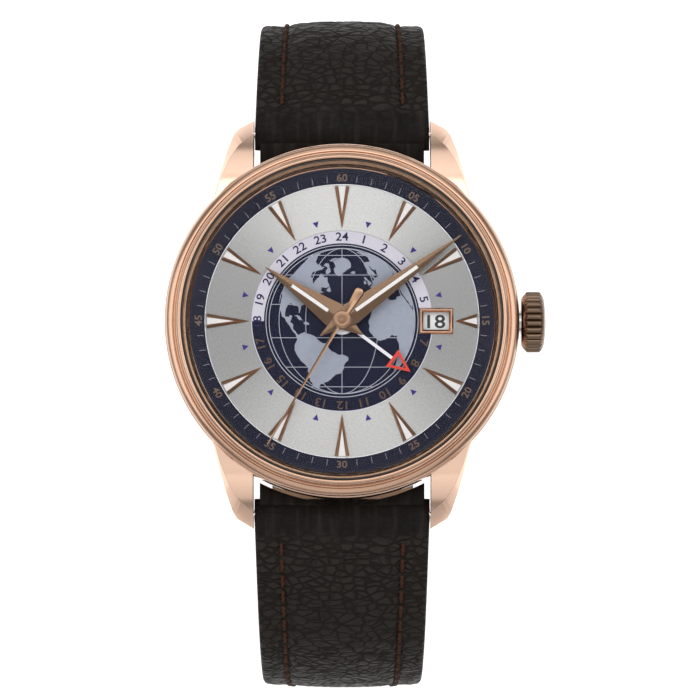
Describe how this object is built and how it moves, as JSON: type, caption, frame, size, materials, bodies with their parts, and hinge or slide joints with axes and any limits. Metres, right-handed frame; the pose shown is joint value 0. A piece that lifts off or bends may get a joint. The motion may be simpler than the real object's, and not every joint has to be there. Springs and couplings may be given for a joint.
{
  "type": "gmt watch",
  "caption": "Round wristwatch with a second-time-zone hand, date window, sweep seconds, crown, glass back over an automatic movement, and a padded leather strap with a pin buckle.",
  "frame": {"origin": "centre of the back glass's outer face, on the hands' axis", "axes": "+Z out through the dial, +Y to 12 o'clock along the strap, +X to the crown at 3 o'clock"},
  "size_m": [0.0451, 0.0808, 0.0587],
  "materials": {
    "rose_gold": "mirror-polished rose-gold-coloured plating on steel",
    "rose_hands": "polished rose-gold-coloured facets",
    "plain_steel": "turned steel",
    "striped_steel": "rhodium-coloured with straight stripes",
    "wheel_brass": "gilt, circular grained",
    "blued_steel": "heat-blued, polished",
    "ruby": "clear red stone",
    "crystal_glass": "clear sapphire",
    "seal": "matt",
    "glass_seal": "matt",
    "dial_silver": "sunburst brushed silver",
    "chapter_navy": "satin navy",
    "lume": "matt white",
    "date_white": "satin white",
    "gmt_white": "gloss white with a red tip",
    "strap_brown": "pebbled, semi-matt",
    "lining_tan": "smooth, matt"
  },
  "bodies": {
    "case": {"mid_case": "rose_gold", "bezel": "rose_gold", "crystal": "crystal_glass", "crystal_gasket": "glass_seal", "case_back": "rose_gold", "back_glass": "crystal_glass", "back_gasket": "seal", "crown_tube": "plain_steel", "spring_bar_12": "plain_steel", "spring_bar_6": "plain_steel", "movement_ring": "plain_steel", "chapter_ring": "chapter_navy", "dial": "dial_silver", "hour_markers": "rose_hands", "marker_lume": "lume", "date_frame": "rose_hands", "date_guide": "plain_steel", "mainplate": "striped_steel", "barrel_bridge": "striped_steel", "train_bridge": "striped_steel", "balance_cock": "striped_steel", "pallet_bridge": "striped_steel", "bridge_screws": "blued_steel", "jewels": "ruby", "rotor_bearing": "plain_steel"},
    "minute_hand": {"minute_hand": "rose_hands"},
    "hour_hand": {"hour_hand": "rose_hands"},
    "gmt_hand": {"gmt_hand": "gmt_white"},
    "seconds_hand": {"seconds_hand": "rose_hands"},
    "center_wheel": {"center_wheel": "wheel_brass"},
    "third_wheel": {"third_wheel": "wheel_brass"},
    "mainspring_barrel": {"mainspring_barrel": "wheel_brass"},
    "escape_wheel": {"escape_wheel": "plain_steel"},
    "date_disc": {"date_disc": "date_white"},
    "pallet_fork": {"pallet_fork": "plain_steel"},
    "balance": {"balance_wheel": "wheel_brass", "hairspring": "blued_steel"},
    "rotor": {"rotor": "striped_steel"},
    "reverser_wheel": {"reverser_wheel": "wheel_brass"},
    "winding_pinion": {"winding_pinion": "plain_steel"},
    "crown": {"crown": "rose_gold", "winding_stem": "plain_steel"},
    "crown_wheel": {"crown_wheel": "plain_steel"},
    "ratchet_wheel": {"ratchet_wheel": "plain_steel"},
    "setting_lever": {"setting_lever": "plain_steel"},
    "strap_12": {"strap_12_leather": "strap_brown", "strap_12_lining": "lining_tan", "fixed_keeper": "strap_brown"},
    "sliding_keeper": {"sliding_keeper": "strap_brown"},
    "buckle": {"buckle_frame": "rose_gold", "buckle_bar": "plain_steel"},
    "buckle_tongue": {"buckle_tongue": "rose_gold"},
    "strap_6": {"strap_6_leather": "strap_brown", "strap_6_lining": "lining_tan"}
  },
  "joints": [
    {"name": "minute_hand_turn", "type": "hinge", "parent": "case", "child": "minute_hand", "pos_m": [0, 0, 0.008], "axis": [0, 0, -1], "continuous": true},
    {"name": "hour_hand_turn", "type": "hinge", "parent": "case", "child": "hour_hand", "pos_m": [0, 0, 0.008], "axis": [0, 0, -1], "continuous": true},
    {"name": "gmt_hand_turn", "type": "hinge", "parent": "case", "child": "gmt_hand", "pos_m": [0, 0, 0.0074], "axis": [0, 0, -1], "continuous": true},
    {"name": "seconds_hand_turn", "type": "hinge", "parent": "case", "child": "seconds_hand", "pos_m": [0, 0, 0.0086], "axis": [0, 0, -1], "continuous": true},
    {"name": "center_wheel_turn", "type": "hinge", "parent": "case", "child": "center_wheel", "pos_m": [0, 0, 0.0035], "axis": [0, 0, -1], "continuous": true},
    {"name": "third_wheel_turn", "type": "hinge", "parent": "case", "child": "third_wheel", "pos_m": [0.0015, -0.00413, 0.0032], "axis": [0, 0, -1], "continuous": true},
    {"name": "barrel_turn", "type": "hinge", "parent": "case", "child": "mainspring_barrel", "pos_m": [0.00168, 0.00626, 0.004], "axis": [0, 0, -1], "continuous": true},
    {"name": "escape_wheel_turn", "type": "hinge", "parent": "case", "child": "escape_wheel", "pos_m": [-0.00342, -0.00124, 0.0042], "axis": [0, 0, -1], "continuous": true},
    {"name": "date_disc_turn", "type": "hinge", "parent": "case", "child": "date_disc", "pos_m": [0, 0, 0.0059], "axis": [0, 0, 1], "continuous": true},
    {"name": "pallet_fork_rock", "type": "hinge", "parent": "case", "child": "pallet_fork", "pos_m": [-0.00456, -0.00338, 0.0043], "axis": [0, 0, 1], "range_deg": [-5, 5]},
    {"name": "balance_swing", "type": "hinge", "parent": "case", "child": "balance", "pos_m": [-0.00594, -0.00594, 0.0036], "axis": [0, 0, 1], "range_deg": [-270, 270], "stiffness_Nm_per_rad": 0.0000008},
    {"name": "rotor_turn", "type": "hinge", "parent": "case", "child": "rotor", "pos_m": [0, 0, 0.0016], "axis": [0, 0, 1], "continuous": true},
    {"name": "reverser_wheel_turn", "type": "hinge", "parent": "case", "child": "reverser_wheel", "pos_m": [-0.00207, -0.00307, 0.0022], "axis": [0, 0, 1], "continuous": true},
    {"name": "crown_turn", "type": "hinge", "parent": "case", "child": "winding_pinion", "pos_m": [0.0089, 0, 0.0051], "axis": [1, 0, 0], "continuous": true},
    {"name": "crown_pull", "type": "slide", "parent": "winding_pinion", "child": "crown", "axis": [1, 0, 0], "range_m": [0, 0.0012]},
    {"name": "crown_wheel_turn", "type": "hinge", "parent": "case", "child": "crown_wheel", "pos_m": [0.007, 0, 0.004], "axis": [0, 0, 1], "continuous": true},
    {"name": "ratchet_wheel_turn", "type": "hinge", "parent": "case", "child": "ratchet_wheel", "pos_m": [0.00168, 0.00626, 0.0022], "axis": [0, 0, 1], "continuous": true},
    {"name": "setting_lever_turn", "type": "hinge", "parent": "case", "child": "setting_lever", "pos_m": [0.0106, 0.0034, 0.0043], "axis": [0, 0, 1], "range_deg": [0, 25]},
    {"name": "strap_12_swing", "type": "hinge", "parent": "case", "child": "strap_12", "pos_m": [0, 0.0227, 0.0017], "axis": [1, 0, 0], "range_deg": [0, 60]},
    {"name": "strap_6_swing", "type": "hinge", "parent": "case", "child": "strap_6", "pos_m": [0, -0.0227, 0.0017], "axis": [-1, 0, 0], "range_deg": [0, 60]},
    {"name": "sliding_keeper_slide", "type": "hinge", "parent": "strap_12", "child": "sliding_keeper", "pos_m": [0, 0.02495, -0.03056], "axis": [1, 0, 0], "range_deg": [0, 38]},
    {"name": "buckle_swing", "type": "hinge", "parent": "strap_12", "child": "buckle", "pos_m": [0, 0.01812, -0.04186], "axis": [1, 0, 0], "range_deg": [-60, 60]},
    {"name": "tongue_swing", "type": "hinge", "parent": "buckle", "child": "buckle_tongue", "pos_m": [0, 0.01812, -0.04186], "axis": [1, 0, 0], "range_deg": [0, 70]}
  ],
  "couplings": [
    {"joint": "hour_hand_turn", "follows": "minute_hand_turn", "ratio": 0.083333},
    {"joint": "gmt_hand_turn", "follows": "minute_hand_turn", "ratio": 0.041667},
    {"joint": "center_wheel_turn", "follows": "seconds_hand_turn", "ratio": 0.016667},
    {"joint": "third_wheel_turn", "follows": "seconds_hand_turn", "ratio": -0.13333},
    {"joint": "barrel_turn", "follows": "seconds_hand_turn", "ratio": -0.002381},
    {"joint": "escape_wheel_turn", "follows": "seconds_hand_turn", "ratio": -12},
    {"joint": "reverser_wheel_turn", "follows": "rotor_turn", "ratio": -1.1333},
    {"joint": "crown_wheel_turn", "follows": "crown_turn", "ratio": 0.5},
    {"joint": "ratchet_wheel_turn", "follows": "crown_turn", "ratio": -0.46},
    {"joint": "setting_lever_turn", "follows": "crown_pull", "rad_per_m": 344.83}
  ]
}
